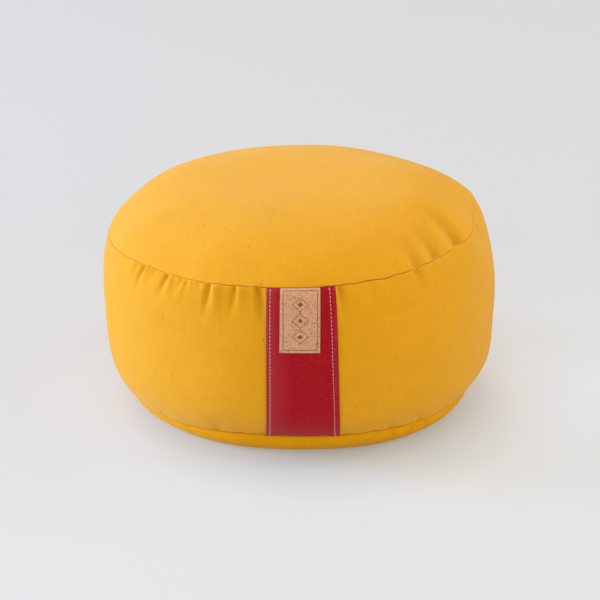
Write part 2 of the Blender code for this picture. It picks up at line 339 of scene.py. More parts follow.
# The folds that the seams pull into the cloth on each side: where a fold starts on its seam in degrees,
# how long it is, how far it drifts sideways, half its width and how deep it goes, in millimetres, and its
# skew. A ridge has a negative depth. A skewed fold is steep on its left and rises slowly to its right.
folds = {
    "belowTop": (
        (-66.5, 24, -10, 3, 1, 0.4), (-54.4, 18, -9, 3.2, -1.6, 0), (-50.4, 27, -9, 2.8, 2.8, 0.45),
        (-48.6, 28, -8, 3.6, -1.7, 0), (-45.3, 10, -4, 1.6, 1.2, 0.4), (-40.3, 24, -8, 2.7, 2.7, 0.45),
        (-38.5, 26, -7, 3.6, -1.8, 0), (-34.6, 13, -3, 1.6, 1.5, 0.4), (-33.2, 22, -9, 2.2, -1.9, 0),
        (-31, 12, -3, 1.8, -1, 0), (-28.5, 10, -2, 2, 1, 0.4), (-25.3, 30, -4, 3, 3.2, 0.45),
        (-23.1, 38, -5, 4.6, -2.7, 0), (-17.5, 26, -4, 2.8, 2.8, 0.45), (-15.7, 30, -4, 4, -1.9, 0),
        (-10.9, 30, 3, 2.6, 4.6, 0.45), (12.8, 26, 0, 2.2, 3.6, 0.3), (22, 30, 4, 4, 0.8, 0.4),
        (38, 24, 6, 3.8, 2.6, -0.15), (29, 16, 3, 2.8, 0.7, -0.2),
        # out of the camera's sight, so these are a guess
        (78, 22, 5, 2.8, 1.8, -0.35), (101, 30, 6, 3, 2.6, 0.35), (107, 20, 4, 2.2, -1, 0),
        (128, 18, -3, 2.6, 1.6, -0.35), (152, 34, 4, 3, 2.8, -0.35), (171, 20, 3, 2.6, 2, 0.35),
        (-168, 28, -5, 3, 2.8, -0.35), (-147, 22, -4, 2.6, 1.8, 0.35), (-126, 32, -6, 3, 3, -0.35),
        (-121, 24, -5, 2.2, -1, 0), (-98, 26, -4, 2.8, 2.2, -0.35), (-84, 18, -4, 2.4, 1.4, -0.35),
    ),
    "aboveTop": (
        (57.9, 54, 6, 7.8, 5, 0.1), (52.6, 46, 4, 7, -1.2, 0), (46.4, 40, 2, 6.8, 4.2, 0.1),
        (42.2, 34, 1, 6, -1, 0), (38.2, 36, 1, 6, 3.2, 0.1), (31, 22, 1, 4, 0.8, -0.2),
        # out of the camera's sight, so these are a guess
        (118, 34, 4, 4, 2.2, -0.35), (143, 26, -3, 3.6, 1.8, 0.35), (171, 40, 4, 4, 2.6, 0.35),
        (-158, 30, -3, 3.6, 1.8, -0.35), (-130, 36, -6, 4, 2.4, -0.35), (-106, 26, 3, 3.4, 1.4, -0.35),
    ),
    "aboveBase": (
        (-47, 20, -4, 3, 1.2, 0.4), (-26.6, 22, 6, 4, 1.2, 0), (-11.6, 14, 2, 3, 1.2, 0),
        (14, 14, 1, 3, 1, 0), (28.2, 22, -4, 3.2, 1.4, 0), (39, 26, -10, 3.8, 1.6, 0),
        # out of the camera's sight, so these are a guess
        (86, 22, 4, 2.8, 2, -0.35), (116, 28, -4, 3, 2.6, -0.35), (139, 20, 3, 2.8, 1.8, 0.35),
        (168, 26, 4, 3, 2.4, -0.35), (-159, 24, -4, 2.8, 2.2, 0.35), (-130, 30, -5, 3, 2.6, -0.35),
        (-101, 22, 3, 2.8, 1.8, 0.35), (-74, 18, -3, 2.6, 1.4, -0.35),
    ),
    "belowBase": (
        (-38, 12, 4, 3, 1, 0), (29, 12, 4, 2.4, 1.4, 0), (31, 12, 4, 2.2, -1, 0),
        (36.5, 14, -3, 2.4, 1.4, 0), (41.5, 12, 3, 2.6, 1.4, 0),
    ),
}
foldForm = {
    "start": 0.0015,  # a fold is at its full depth this far from the seam's line
    "fading": 1.3,  # along its length
    "narrow": 0.7,  # at the seam, as a share of its width
    "widening": 1.1,
    "sharpness": {"crown": 1.3, "side": 2.0},
    "shadedAt": {"crown": 0.55, "side": -0.1},  # across it
    "shadedWidth": 0.75,
    "deepest": 0.0050,
}


# How far the folds sink each point of a grid, and how shaded their hollows are.
def foldDepths(lengths, angles):
    total, hollows = np.zeros((2, len(lengths), len(angles)))
    for side, rows in folds.items():
        seam = "baseSeam" if "Base" in side else "topSeam"
        fromSeam = (lengths - seamAt[seam]) * (-1 if side.startswith("below") else 1)
        kind = "crown" if side == "aboveTop" else "side"
        sharpness, shadedAt = foldForm["sharpness"][kind], foldForm["shadedAt"][kind]
        for angle, *sizes, skew in rows:
            length, lean, width, depth = (size / 1000 for size in sizes)
            around = np.radians((angles - angle + 180.0) % 360.0 - 180.0) * seamRadius[seam]
            for row in np.where((fromSeam > 0) & (fromSeam < length))[0]:
                share = fromSeam[row] / length
                fade = math.cos(share * math.pi / 2) ** foldForm["fading"]
                fade *= min(1.0, fromSeam[row] / foldForm["start"])
                across = around - lean * share
                reach = width * (foldForm["narrow"] + foldForm["widening"] * share)
                reach = reach * (1 + skew * np.sign(across))
                total[row] += depth * fade * np.exp(-np.abs(across / reach) ** sharpness)
                shaded = np.exp(-((across - shadedAt * width) / (foldForm["shadedWidth"] * reach)) ** 2)
                hollows[row] += max(depth, 0.0) / foldForm["deepest"] * fade * shaded
    return total, hollows


settling = {
    "columns": 528,
    "below": {"topSeam": 0.046, "baseSeam": 0.018},  # how far from each seam the cloth may move
    "above": {"topSeam": 0.062, "baseSeam": 0.032},
    "spareCloth": 0.009,  # extra cloth at the seam, as a share of its length
    "spareReach": 0.025,
    "cutDeeper": 1.25,  # the folds are cut this much deeper than they start
    "foldsKept": 0.6,  # how much of a fold's own shape is left when the cloth has settled
    "larger": 10.0,  # the size that the cloth settles at
    "frames": 20,
    "cloth": {"quality": 6, "mass": 0.02, "tension_stiffness": 15.0, "compression_stiffness": 15.0,
              "shear_stiffness": 5.0, "bending_stiffness": 0.5, "use_pressure": True,
              "uniform_pressure_force": 4.0},
    "farthest": 0.006,  # no point moves further than this
    "quiver": 0.00025,  # the uneven start from which small puckers grow
    "puckers": (24, 75),  # how many of them go round the case
    "puckersFrom": 0.004,  # from the seam
    "puckersReach": 0.015,
    "puckersAbove": -0.6,  # above the seam they go the other way
}


def gridFaces(rows, columns):
    lower = np.arange((rows - 1) * columns).reshape(rows - 1, columns)
    beside = np.roll(lower, -1, axis=1)
    return np.stack([lower, beside, beside + columns, lower + columns], -1).reshape(-1, 4)


def flatCorners(u, v):  # each quad's corners on its flat cloth, from a grid that comes back to its start
    flat = np.stack(np.broadcast_arrays(u, v), -1)
    return np.stack([flat[:-1, :-1], flat[:-1, 1:], flat[1:, 1:], flat[1:, :-1]], 2)


def settle(start, cut, heldRows):  # lets a ring of cloth settle under the filling's pressure
    rows, columns = start.shape[:2]
    startPoints = start.reshape(-1, 3) * settling["larger"]
    mesh = bpy.data.meshes.new("settling")
    mesh.from_pydata(startPoints.tolist(), [], gridFaces(rows, columns).tolist())
    cloth = bpy.data.objects.new("settling", mesh)
    scene.collection.objects.link(cloth)
    held = cloth.vertex_groups.new(name="held")
    held.add([row * columns + column for row in heldRows for column in range(columns)], 1.0, "REPLACE")
    cloth.shape_key_add(name="Basis")
    cutKey = cloth.shape_key_add(name="cut")
    cutKey.data.foreach_set("co", (cut.reshape(-1, 3) * settling["larger"]).ravel())
    modifier = cloth.modifiers.new("settling", "CLOTH")
    modifier.collision_settings.use_collision = False
    modifier.point_cache.frame_start, modifier.point_cache.frame_end = 1, settling["frames"]
    modifier.settings.rest_shape_key, modifier.settings.vertex_group_mass = cutKey, "held"
    for name, value in settling["cloth"].items():
        setattr(modifier.settings, name, value)
    modifier.settings.effector_weights.gravity = 0.0
    for step in range(1, settling["frames"] + 1):
        scene.frame_set(step)
    settled = cloth.evaluated_get(bpy.context.evaluated_depsgraph_get())
    points = np.empty(rows * columns * 3, np.float32)
    settled.data.vertices.foreach_get("co", points)
    bpy.data.objects.remove(cloth)
    bpy.data.meshes.remove(mesh)
    scene.frame_set(1)
    return points.reshape(start.shape).astype(float) / settling["larger"]


def settleBeside(seam):  # how the cloth on both sides of a seam has moved, and where its rows are
    columns = settling["columns"]
    angles = np.arange(columns) * 360.0 / columns - 180.0
    spacing = 2 * math.pi * seamRadius[seam] / columns
    below, above = settling["below"][seam], settling["above"][seam]
    rowsBelow, rowsAbove = round(below / spacing), round(above / spacing)
    lengths = seamAt[seam] + np.concatenate([np.linspace(-below, 0, rowsBelow + 1),
                                             np.linspace(0, above, rowsAbove + 1)[1:]])
    smooth, outward = smoothGrid(lengths, angles), outwardOf(lengths, angles)
    away = np.abs(lengths - seamAt[seam])[:, None]
    depths, _ = foldDepths(lengths, angles)
    near = np.clip(away / settling["puckersFrom"], 0, 1) * np.exp(-away / settling["puckersReach"])
    near = near * np.where(lengths < seamAt[seam], 1, settling["puckersAbove"])[:, None]
    quiver = wander(angles, *settling["puckers"], 31) * settling["quiver"] * near
    spare = settling["spareCloth"] * np.clip(1 - away / settling["spareReach"], 0, 1)
    spare = spare * (1 + 0.5 * wander(angles, 1, 12, 32))
    start = smooth - outward * (depths + quiver)[..., None]
    cut = smooth - outward * (depths * settling["cutDeeper"] + quiver)[..., None]
    cut[..., 0] *= 1 + spare
    cut[..., 1] = caseMiddle.y + (cut[..., 1] - caseMiddle.y) * (1 + spare)
    moved = settle(start, cut, (0, rowsBelow, len(lengths) - 1)) - smooth
    inOut = (moved * outward).sum(axis=-1)
    moved -= outward * np.median(inOut, axis=1)[:, None, None]  # the case keeps its outline
    far = np.linalg.norm(moved, axis=-1, keepdims=True)
    moved *= np.minimum(1.0, settling["farthest"] / np.maximum(far, 1e-9))
    moved -= (moved + outward * depths[..., None]) * settling["foldsKept"]
    return {"spacing": (below / rowsBelow, above / rowsAbove), "below": moved[:rowsBelow + 1][::-1],
            "above": moved[rowsBelow:]}


def movedBy(settled, seam, lengths, angles):  # the same movement, read at any places
    moved = np.zeros((len(lengths), len(angles), 3))
    columns = (angles + 180.0) / 360.0 * settling["columns"]
    for side, direction in (("below", -1), ("above", 1)):
        spacing = settled["spacing"][0 if side == "below" else 1]
        rows = (lengths - seamAt[seam]) * direction / spacing
        chosen = np.where((rows > 0) & (rows < len(settled[side]) - 1))[0]
        if len(chosen):
            byRow = between(settled[side], rows[chosen])
            moved[chosen] = between(byRow.swapaxes(0, 1), columns, True).swapaxes(0, 1)
    return moved


panel = {
    "columns": 704,  # points round each ring
    "spacing": 0.0016,  # between rings, away from the seams
    "seamRings": (0.0, 0.00012, 0.0003, 0.0006, 0.0010, 0.0015, 0.0022, 0.0032, 0.0045),
    "seamDepth": 0.0012,  # how far the cloth's edge rolls into the seam
    "seamRoll": 0.0006,  # how wide that roll is
    "seamDraw": 0.0006,  # how far the seam draws in the cloth beside it
    "drawReach": 0.0060,
    "seamStray": 0.0003,
    "strayWaves": (26, 70),  # the slowest and the fastest round the case
    "strayReach": 0.0045,
    "allowance": 0.0030,  # the cloth's edge goes on inwards
    "seamSlopes": {"topSeam": 38.0, "baseSeam": -22.0},  # which way inwards is, in degrees below level
    "seamHold": ((22, 14, 0.35), (-52, 28, -0.40), (58, 22, -0.30)),  # angle, spread, how much tighter
    "holdWaves": ((3, 40, 0.22), (120, 260, 0.12)),  # the slowest, the fastest and their size
}
ringAngles = np.arange(panel["columns"]) * 360.0 / panel["columns"] - 180.0
settled = {seam: settleBeside(seam) for seam in ("topSeam", "baseSeam")}
report("cloth settled beside the seams")


def ringLengths(start, end, startSeam, endSeam):  # a panel's rings, close together at its seams
    rings = np.array(panel["seamRings"])
    gap = rings[-1] + panel["spacing"]
    low, high = start + gap * startSeam, end - gap * endSeam
    middle = np.linspace(low, high, max(2, round((high - low) / panel["spacing"]) + 1))
    head, tail = [start + rings] * startSeam, [end - rings[::-1]] * endSeam
    return np.concatenate(head + [middle] + tail)


def seamWobble(seam, lengths, angles):  # how far up and down the sewing strays, fading away from it
    away = np.abs(lengths - seamAt[seam])[:, None]
    stray = wander(angles, *panel["strayWaves"], 7 if seam == "topSeam" else 9)
    stray = stray * (1.0 - 0.85 * np.exp(-((angles - 1.0) / 12.0) ** 4))  # the strap keeps it straighter
    return panel["seamStray"] * stray * np.exp(-(away / panel["strayReach"]) ** 2)


def unevenSeam(seam, angles):  # how tightly the seam holds, round the case
    seed = 3 if seam == "topSeam" else 5
    hold = 1.0
    for step, (slowest, fastest, size) in enumerate(panel["holdWaves"]):
        hold = hold + size * wander(angles, slowest, fastest, seed + step)
    for middle, spread, tighter in panel["seamHold"]:
        hold = hold + tighter * np.exp(-((angles - middle) / spread) ** 2)
    return hold


def clothGrid(lengths, angles, taut=False):  # points of the finished cloth; a taut strip skips its folds
    smooth, outward = smoothGrid(lengths, angles), outwardOf(lengths, angles)
    sunk = -lumpHeights(smooth) * soften((lengths - floorEdgeAt) / lumps["fromFloor"])[:, None]
    for at in seamAt.values():
        sunk = sunk * soften(np.abs(lengths - at) / lumps["fromSeam"])[:, None]
    for seam, at in seamAt.items():
        away = np.abs(lengths - at)[:, None]
        roll = panel["seamDepth"] * np.clip(1.0 - away / panel["seamRoll"], 0, 1) ** 2
        draw = panel["seamDraw"] * np.clip(1.0 - away / panel["drawReach"], 0, 1) ** 2
        sunk = sunk + (roll + draw) * unevenSeam(seam, angles)
    points = smooth - outward * sunk[..., None]
    for seam in seamAt:
        points[..., 2] += seamWobble(seam, lengths, angles)
        if not taut:
            points += movedBy(settled[seam], seam, lengths, angles)
    return points


def seamInward(seam, angles):  # the way into the case at a seam's line
    slope = math.radians(panel["seamSlopes"][seam])
    right, back = outwards(angles)
    level, down = math.cos(slope), np.full_like(right, -math.sin(slope))
    return np.stack([-right * level, -back * level, down], -1)


def seamLine(seam, angles):  # the bottom of the seam's groove, the same for both panels
    place = np.array([seamAt[seam]])
    line = smoothGrid(place, angles)[0]
    line[:, 2] += seamWobble(seam, place, angles)[0]
    depth = (panel["seamDepth"] + panel["seamDraw"]) * unevenSeam(seam, angles)
    return line + seamInward(seam, angles) * depth[:, None]


def asCase(piece):
    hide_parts("cushion")


sideBand = {
    "joinDepth": 0.0010,  # its ends are joined at the back
    "joinRoll": 0.0010,
    "joinColumns": (0.00012, 0.0003, 0.0006, 0.0010),
}


def makeBand(finish):
    allowance = panel["allowance"]
    lengths = ringLengths(baseSeamAt, topSeamAt, True, True)
    besideJoin = np.degrees(np.array(sideBand["joinColumns"]) / widestRadius)
    angles = np.sort(np.concatenate([ringAngles, -180.0 + besideJoin, 180.0 - besideJoin]))
    grid = clothGrid(lengths, angles)
    join = np.radians(180.0 - np.abs(angles)) * widestRadius
    sunk = sideBand["joinDepth"] * np.clip(1 - join / sideBand["joinRoll"], 0, 1) ** 2
    grid -= outwardOf(lengths, angles) * sunk[None, :, None]
    grid[0], grid[-1] = seamLine("baseSeam", angles), seamLine("topSeam", angles)
    low = grid[0] + seamInward("baseSeam", angles) * allowance
    high = grid[-1] + seamInward("topSeam", angles) * allowance
    points = np.concatenate([low[None], grid, high[None]])
    hollows = np.pad(foldDepths(lengths, angles)[1], ((1, 1), (0, 0)))
    lengths = np.concatenate([[lengths[0] - allowance], lengths, [lengths[-1] + allowance]])
    around = np.radians(np.append(angles, angles[0] + 360.0)) * widestRadius
    faces = gridFaces(len(points), len(angles)).tolist()
    uvs = flatCorners(around, lengths[:, None])
    asCase(makeMesh("sideBand", points.reshape(-1, 3), faces, uvs, finish, hollows))


def makeDisc(name, lengths, seam, finish):  # a round panel; lengths run from its seam to its middle
    outside = lengths[1] > lengths[0]
    grid = clothGrid(lengths, ringAngles)
    grid[0] = seamLine(seam, ringAngles)
    rings = [grid[0] + seamInward(seam, ringAngles) * panel["allowance"]] + list(grid[:-1])
    shades = np.pad(foldDepths(lengths, ringAngles)[1], ((1, 0), (0, 0)))
    radii = np.abs(lengths - lengths[-1])
    radii = [radii[0] + panel["allowance"]] + list(radii[:-1])
    points, flatPlaces, hollows, starts, counts = [], [], [], [], []
    skip = 1
    for ring, radius, shade in zip(rings, radii, shades):
        apart = 2 * math.pi * radius / len(ringAngles)
        # fewer points near the middle
        while len(ringAngles) // skip > 11 and apart * skip < 0.5 * panel["spacing"]:
            skip *= 2
        starts.append(len(points))
        counts.append(len(ringAngles) // skip)
        turn = np.radians(ringAngles[::skip])
        points += list(ring[::skip])
        hollows += list(shade[::skip])
        flatPlaces += list(np.stack([np.sin(turn) * radius, -np.cos(turn) * radius], -1))
    points.append(grid[-1].mean(axis=0))
    flatPlaces.append(np.zeros(2))
    hollows.append(0.0)
    faces = []
    for outer, inner, wide, narrow in zip(starts, starts[1:], counts, counts[1:]):
        for j in range(narrow):
            k = (j + 1) % narrow
            if wide == narrow:
                faces.append((outer + j, outer + k, inner + k, inner + j))
            else:
                middle = outer + 2 * j + 1
                faces += [(outer + 2 * j, middle, inner + j), (middle, outer + 2 * k, inner + k),
                          (middle, inner + k, inner + j)]
    last, count = starts[-1], counts[-1]
    faces += [(last + j, last + (j + 1) % count, len(points) - 1) for j in range(count)]
    if not outside:
        faces = [face[::-1] for face in faces]
    flatPlaces = np.array(flatPlaces)
    uvs = np.concatenate([flatPlaces[list(face)] for face in faces])
    asCase(makeMesh(name, np.array(points), faces, uvs, finish, hollows))


canvas = {
    "colour": (0.92, 0.412, 0.0018, 1.0),
    "deep": (0.815, 0.345, 0.0008, 1.0),
    "seamShade": (0.30, 0.145, 0.0012, 1.0),  # painted shade in the seam's groove, on the cloth beside the seam's line
    "seamShadeReach": 0.0007,
    "hollowShade": (0.63, 0.290, 0.0010, 1.0),  # the cloth in the folds' hollows, which see less light
    "hollowShare": 0.75,
    "roughness": 0.85,
    "sheens": {"band": 0.18, "top": 0.22, "base": 0.06},
    "thread": 0.00060,  # between neighbouring threads, in metres
    "slubs": (1700.0, 60.0),  # how often in a metre a thread changes, across it and along it
    "thickSlubs": (620.0, 45.0),
    "clouds": 30.0,
    "relief": 0.00012,
    "seedFlecks": 0.009,  # between possible flecks of seed husk
    "fewFlecks": 0.955,
    "fleckColour": (0.20, 0.075, 0.006, 1.0),
}


def weaveOf(finish, u, v, pitch):  # height of a plain weave, 0 to 1, from flat places in metres
    turn = math.pi / pitch
    lengthwise, crosswise = finish.op("SINE", u * turn), finish.op("SINE", v * turn)
    over = lengthwise * crosswise > 0.0
    return finish.op("ABSOLUTE", lengthwise) * over + finish.op("ABSOLUTE", crosswise) * (1 - over)


def makeCanvas(name, seamDistance, sheen):  # seamDistance tells how far a flat place is from its seam
    finish = Finish(name)
    where, u, v = finish.clothPlace()
    weave = weaveOf(finish, u, v, canvas["thread"])
    slub, thicker = finish.slubs(where, *canvas["slubs"]), finish.slubs(where, *canvas["thickSlubs"])
    cloud = finish.noise(where, canvas["clouds"], 4.0, 0.6)
    shade = finish.within(cloud * 0.5 + slub * 0.45 + thicker * 0.5, -0.05, 0.55)
    colour = finish.blend(shade, canvas["deep"], canvas["colour"])
    hollow = finish.node("ShaderNodeAttribute", {"attribute_name": "hollow"}, None, 2)
    hollow = finish.op("MINIMUM", hollow, 1.0) * canvas["hollowShare"]
    colour = finish.blend(hollow, colour, canvas["hollowShade"])
    fleckPlaces = {"Vector": where, "Scale": 1.0 / canvas["seedFlecks"], "Randomness": 1.0}
    distance, chance = finish.node(
        "ShaderNodeTexVoronoi", {"feature": "F1", "voronoi_dimensions": "2D"}, fleckPlaces, None)[:2]
    isFleck = finish.node("ShaderNodeSeparateColor", None, {0: chance}) > canvas["fewFlecks"]
    fleck = isFleck * finish.within(distance, 0.03, 0.08, 0.85, 0.0)
    colour = finish.blend(fleck, colour, canvas["fleckColour"])
    # painted shade in the seams' grooves: darker close to each seam's line, in patches, less at the sides
    # and most beside the strap's corners
    paintedSeamShade = finish.within(seamDistance(finish, u, v), 0.0, canvas["seamShadeReach"], 1.0, 0.0)
    uneven = finish.within(finish.noise(where, 70.0, 3.0), 0.38, 0.66, 0.0, 0.8)
    x = finish.parts(finish.node("ShaderNodeNewGeometry"))[0]
    fromFront = finish.op("ABSOLUTE", x - 0.006)
    uneven = uneven * finish.within(fromFront, 0.058, 0.080, 1.0, 0.5)  # less painted shade at the sides
    fromStrap = finish.op("ABSOLUTE", u - strap["shiftTop"]) - strap["flatWidth"] / 2
    paintedShadeByStrap = finish.within(finish.op("ABSOLUTE", fromStrap), 0.003, 0.010, 0.9, 0.0)
    colour = finish.blend(paintedSeamShade * finish.op("MAXIMUM", uneven, paintedShadeByStrap), colour, canvas["seamShade"])
    finish.surface({
        "Base Color": colour, "Roughness": canvas["roughness"] + slub * 0.08,
        "Normal": finish.bump(weave + slub * 1.2 + thicker * 1.5, canvas["relief"]),
        "Sheen Weight": sheen, "Sheen Roughness": 0.5, "Sheen Tint": (1.0, 1.0, 0.6, 1.0),
        "Specular IOR Level": sheen * 1.25})
    return finish


def fromBandSeams(finish, u, v):
    return finish.op("MINIMUM", v - baseSeamAt, topSeamAt - v)


def fromDiscSeam(radius):
    return lambda finish, u, v: radius - finish.op("SQRT", u * u + v * v)


strap = {
    "flatWidth": 0.0555,
    "gather": 0.0030,  # how much narrower it is at the top
    "flareLeft": 0.0028,  # how far its left edge is drawn out at the base
    "shiftTop": 0.0016,
    "shiftBase": 0.0046,
    "clearance": 0.0004,
    "thickness": 0.0012,
    "hemWidth": 0.0085,  # the long edges are folded under
    "hemThickness": 0.0019,
    "hemSlope": 0.0012,
    "foldRound": 0.0009,
    "edgeColumns": (0.0, 0.00008, 0.0002, 0.0004, 0.0007),
    "edgeInset": 0.0011,
    "columns": 74,  # between the edges
    "seamRows": (0.0, 0.0003, 0.0007, 0.0012, 0.0018, 0.0026),
    "rowSpacing": 0.0009,
    "intoSeam": 0.0012,
    "liftBase": 0.0060,  # its height is crushed this close to the seams
    "liftTop": 0.0035,
    "crushed": 0.10,
    "stitchIn": {"left": (0.0030, 0.0030), "right": (0.0040, 0.0048)},  # from the edge, at base and top
    "stitchPitch": 0.0028,
    "stitchShare": 0.93,  # of the pitch, the rest is the gap
    "stitchStray": 0.00012,
    "stitchLift": 0.00012,
    "stitchDip": 0.00055,
    "groove": 0.00042,  # how deep the thread pulls in the cloth
    "grooveWidth": 0.0009,
    "thread": 0.00070,
    "puff": 0.00010,  # of the folded edges between the stitches
    "puffIn": 0.0015,
    "wrinkle": 0.00016,  # below the label's end
    "wrinklePitch": 0.0052,
    "wrinklesBelow": 0.0603,  # from the top seam
    "wrinklesReach": 0.007,
    "uneven": 0.00012,
    "cotton": {"deep": (0.38, 0.0010, 0.0080, 1.0), "colour": (0.485, 0.0025, 0.0130, 1.0),
               "paler": (0.50, 0.045, 0.060, 1.0),  # painted light on the left and at the foot, where the left lamp's sheen and the floor's bounce fall
               # edge is painted shade along the strap's long edges and its ends in the seams
               "lint": (0.46, 0.060, 0.045, 1.0), "edge": (0.14, 0.0015, 0.012, 1.0),
               "thread": 0.00048, "slubs": (2200.0, 90.0), "clouds": 60.0, "relief": 0.00009},
    "stitching": {"deep": (0.62, 0.20, 0.27, 1.0), "colour": (0.82, 0.43, 0.49, 1.0), "relief": 0.00008},
}


def bandShare(length):  # 0 at the base seam to 1 at the top seam
    return (length - baseSeamAt) / (topSeamAt - baseSeamAt)


def strapMiddle(up):
    return strap["shiftBase"] + (strap["shiftTop"] - strap["shiftBase"]) * up


def strapEdges(up):  # the strap's left and right edges across the front
    half = (strap["flatWidth"] - strap["gather"] * up ** 4) / 2
    return strapMiddle(up) - half - strap["flareLeft"] * (1 - up) ** 3, strapMiddle(up) + half


def frontAngles(across, length):  # the angles at which the band is this far to the right of the middle
    frontRadius = 0.155  # about, to start from
    angles = np.degrees(across / frontRadius)
    for _ in range(5):
        ring = smoothGrid(np.array([length]), angles)[0]
        angles = angles + np.degrees((across - ring[:, 0]) / frontRadius)
    return angles


def frontStrip(rows, acrossAt, heightAt):  # points of a strip on the band's front, a row for each length
    made = []
    for length in rows:
        inside = float(np.clip(length, baseSeamAt, topSeamAt))
        across = acrossAt(inside)
        angles = frontAngles(across, inside)
        point = clothGrid(np.array([inside]), angles, taut=True)[0]
        outward = outwardOf(np.array([inside]), angles)[0]
        seam = "topSeam" if length > widestAt else "baseSeam"
        if abs(inside - seamAt[seam]) < 1e-6:
            point = seamLine(seam, angles)
        point = point + seamInward(seam, angles) * abs(length - inside)
        made.append(point + outward * np.asarray(heightAt(inside, across))[:, None])
    return np.array(made)


# One closed solid on the band's front, from the heights of its two faces. flatFrom is where its cloth's own
# places start, across and along.
def makeStrip(name, rows, acrossAt, outer, inner, flatFrom, finish):
    top, bottom = frontStrip(rows, acrossAt, outer), frontStrip(rows, acrossAt, inner)
    across = np.array([acrossAt(length) for length in np.clip(rows, baseSeamAt, topSeamAt)]) - flatFrom[0]
    columns = top.shape[1]
    loop = np.concatenate([top, bottom[:, ::-1]], axis=1)
    count = loop.shape[1]
    faces = gridFaces(len(rows), count).tolist()
    u = np.concatenate([across, across[:, ::-1], across[:, :1]], axis=1)
    v = rows - flatFrom[1]
    uvs = list(flatCorners(u, v[:, None]).reshape(-1, 2))
    for row, turned in ((0, True), (len(rows) - 1, False)):  # the two ends
        first, last = row * count, row * count + count - 1
        for j in range(columns - 1):
            corners = [first + j, first + j + 1, last - 1 - j, last - j]
            corners = corners[::-1] if turned else corners
            faces.append(corners)
            uvs += [(u[row, corner - first], v[row]) for corner in corners]
    return makeMesh(name, loop.reshape(-1, 3), faces, np.array(uvs), finish)


def acrossBetween(left, right, strip):  # places across a strip, close together at its two edges
    edges, inset = np.array(strip["edgeColumns"]), strip["edgeInset"]
    middle = np.linspace(left + inset, right - inset, strip["columns"])
    return np.concatenate([left + edges, middle, right - edges[::-1]])


def seamLift(length):  # how much of a strip's height is left near the seams that catch it
    away = min((length - baseSeamAt) / strap["liftBase"], (topSeamAt - length) / strap["liftTop"])
    return strap["crushed"] + (1 - strap["crushed"]) * float(soften(away))


def stitchPlace(side, up):
    low, high = strap["stitchIn"][side]
    return low + (high - low) * up


def foldDrop(inward):  # how far a rounded fold drops towards the strap's long edge
    edge = np.clip(inward / strap["foldRound"], 0, 1)
    return strap["hemThickness"] * 0.5 * (1 - np.sqrt(1 - (1 - edge) ** 2))


def strapHeights(length, across):  # the outer face of the strap above the band
    up = bandShare(length)
    left, right = strapEdges(up)
    total = np.full(len(across), strap["thickness"])
    for side, seed, inward in (("left", 61, across - left), ("right", 62, right - across)):
        hem = soften((strap["hemWidth"] - inward) / strap["hemSlope"])
        total += hem * (strap["hemThickness"] - strap["thickness"])
        fromStitch = (inward - stitchPlace(side, up)) / strap["grooveWidth"]
        pull = 0.65 + 0.35 * math.cos(2 * math.pi * length / strap["stitchPitch"])
        total -= strap["groove"] * pull * np.exp(-fromStitch ** 2)
        puff = wander(np.array([length / strap["stitchPitch"] * 90.0]), 2, 6, seed)[0]
        total += strap["puff"] * puff * np.exp(-((inward - strap["puffIn"]) / 0.0012) ** 2)
        total -= foldDrop(inward)
    away = (length - topSeamAt + strap["wrinklesBelow"]) / strap["wrinklesReach"]
    wrinkles = np.sin(2 * math.pi * length / strap["wrinklePitch"] + across * 60)
    total += strap["wrinkle"] * wrinkles * math.exp(-away ** 2)
    total += strap["uneven"] * wander(across * 2200.0 + length * 900.0, 1, 5, 64)
    return (strap["clearance"] + np.maximum(total, 0.0004)) * seamLift(length)


def underneath(length, across):  # the strap's inner face, rounded up to meet the fold
    left, right = strapEdges(bandShare(length))
    return (strap["clearance"] + foldDrop(np.minimum(across - left, right - across))) * seamLift(length)


def makeStrap(finish):
    near = np.array(strap["seamRows"])
    low, high = baseSeamAt + near[-1], topSeamAt - near[-1]
    spacing = strap["rowSpacing"]
    middleRows = np.linspace(low + spacing, high - spacing, round((high - low) / spacing))
    rows = np.concatenate([[baseSeamAt - strap["intoSeam"]], baseSeamAt + near, middleRows,
                           topSeamAt - near[::-1], [topSeamAt + strap["intoSeam"]]])

    def acrossAt(length):
        return acrossBetween(*strapEdges(bandShare(length)), strap)

    piece = makeStrip("strap_cloth", rows, acrossAt, strapHeights, underneath, (0.0, 0.0), finish)
    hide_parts("strap")
    return piece


